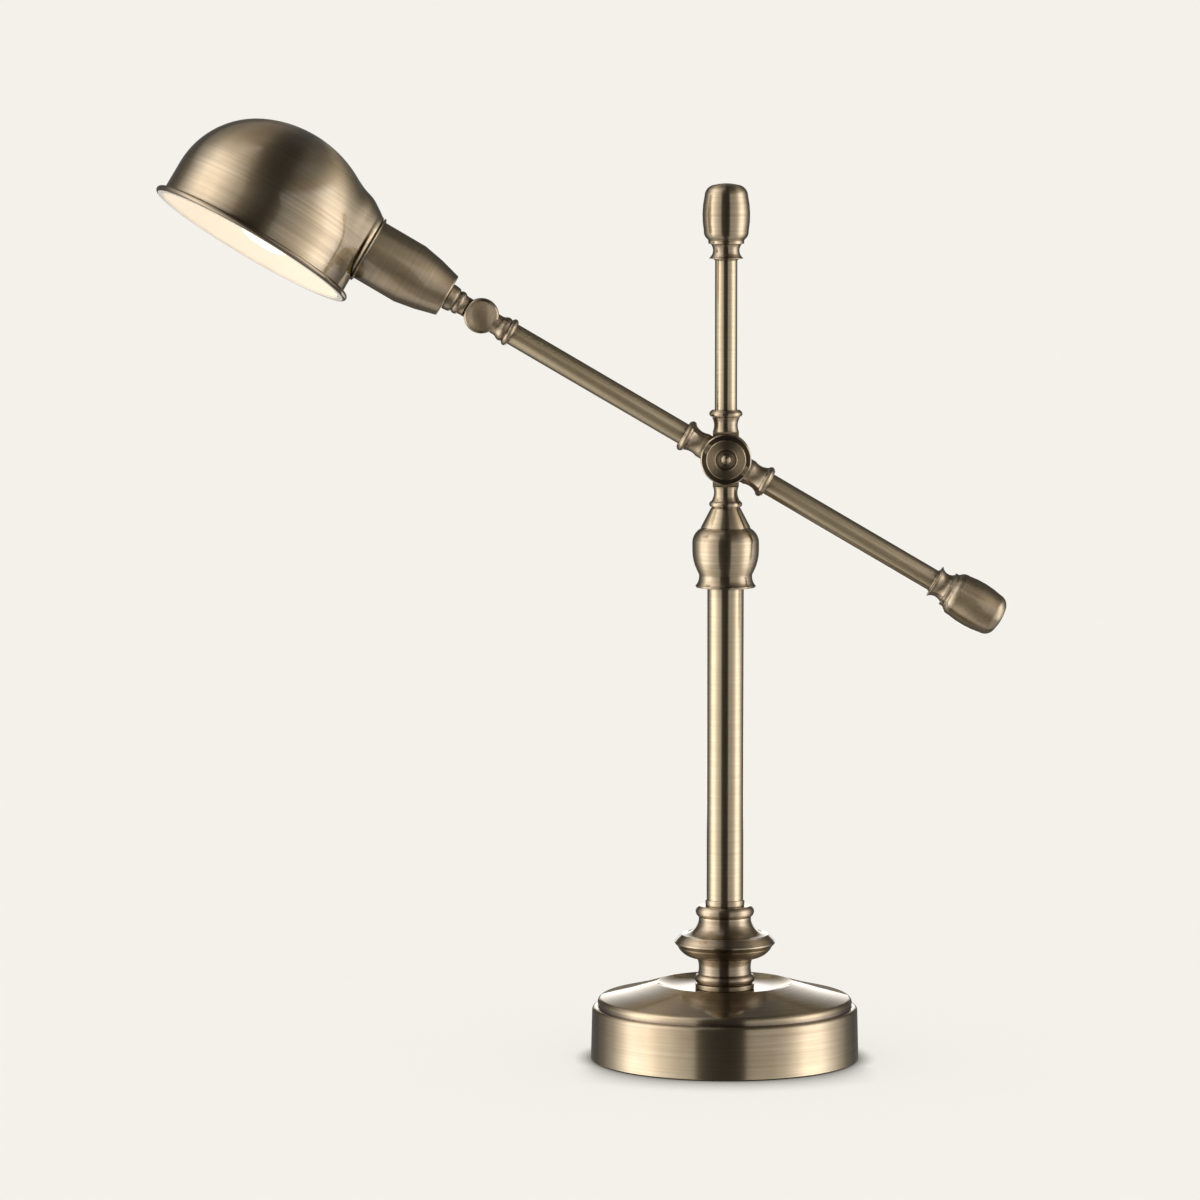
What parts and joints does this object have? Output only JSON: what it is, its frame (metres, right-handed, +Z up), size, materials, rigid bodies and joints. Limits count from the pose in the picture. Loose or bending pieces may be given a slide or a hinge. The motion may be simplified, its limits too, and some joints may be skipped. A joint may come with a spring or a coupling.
{
  "type": "desk lamp",
  "caption": "Boom arm desk lamp in antique brass: round weighted base, column, pivoting counterweighted boom and tilting dome shade on a turning head.",
  "frame": {"origin": "middle of the base's underside, on the desk", "axes": "+Z up along the column; the boom lies in the XZ plane with the head towards -X; the front of the lamp faces -Y"},
  "size_m": [0.5332, 0.1713, 0.5976],
  "materials": {
    "antique_brass": "lathe-brushed, antiqued and lacquered; the shade is enamelled cream white inside",
    "plated_steel": "zinc plated",
    "cast_iron": "raw casting",
    "felt": "dense felt",
    "friction_fibre": "pressed fibre",
    "black_plastic": "moulded",
    "porcelain": "unglazed white porcelain",
    "plain_brass": "stamped, bright",
    "bulb_aluminium": "stamped",
    "opal_glass": "frosted white inside"
  },
  "bodies": {
    "base": {"felt_pad": "felt", "base_weight": "cast_iron", "base_cover": "antique_brass", "cord_bushing": "black_plastic", "base_washer": "plated_steel", "base_nut": "plated_steel", "stem_rod": "plated_steel", "spacer_ring": "antique_brass", "lower_spool": "antique_brass", "stem_flange": "antique_brass", "collar_ring": "antique_brass", "tube_sleeve": "antique_brass", "column_tube": "antique_brass", "column_foot_plug": "plated_steel", "vase": "antique_brass", "vase_grub_screw": "plated_steel"},
    "post": {"swivel_washer": "friction_fibre", "swivel_stud": "plated_steel", "swivel_spring": "plated_steel", "swivel_nut": "plated_steel", "cone_cap": "antique_brass", "post_hub": "antique_brass", "upper_tube": "antique_brass", "finial_neck": "antique_brass", "finial_stud": "plated_steel", "finial_barrel": "antique_brass"},
    "boom": {"boom_hub": "antique_brass", "pivot_cap": "antique_brass", "pivot_bolt": "antique_brass", "pivot_washer": "friction_fibre", "pivot_spring": "plated_steel", "pivot_nut": "antique_brass", "front_tube": "antique_brass", "rear_tube": "antique_brass", "counterweight_neck": "antique_brass", "counterweight_stud": "plated_steel", "counterweight_barrel": "antique_brass", "knuckle_base": "antique_brass", "knuckle_screw": "antique_brass", "knuckle_washer": "friction_fibre"},
    "knuckle": {"knuckle_arm": "antique_brass", "head_nipple": "plated_steel", "head_spring": "plated_steel", "head_nut": "plated_steel"},
    "head": {"socket_cup": "antique_brass", "socket_body": "porcelain", "screw_shell": "plain_brass", "centre_contact": "plain_brass", "shade_ring": "antique_brass", "shade": "antique_brass", "shade_lock_ring": "porcelain", "bulb_cap": "bulb_aluminium", "bulb_glass": "opal_glass"}
  },
  "joints": [
    {"name": "post_swivel", "type": "hinge", "parent": "base", "child": "post", "pos_m": [0, 0, 0.3384], "axis": [0, 0, 1], "range_deg": [-170, 170]},
    {"name": "boom_tilt", "type": "hinge", "parent": "post", "child": "boom", "pos_m": [0, 0, 0.3817], "axis": [0, -1, 0], "range_deg": [-6, 66]},
    {"name": "head_tilt", "type": "hinge", "parent": "boom", "child": "knuckle", "pos_m": [-0.1537, 0, 0.47187], "axis": [0, 1, 0], "range_deg": [-60, 80]},
    {"name": "head_roll", "type": "hinge", "parent": "knuckle", "child": "head", "pos_m": [-0.1537, 0, 0.47187], "axis": [-0.8625, 0, 0.506], "range_deg": [-150, 150]}
  ]
}
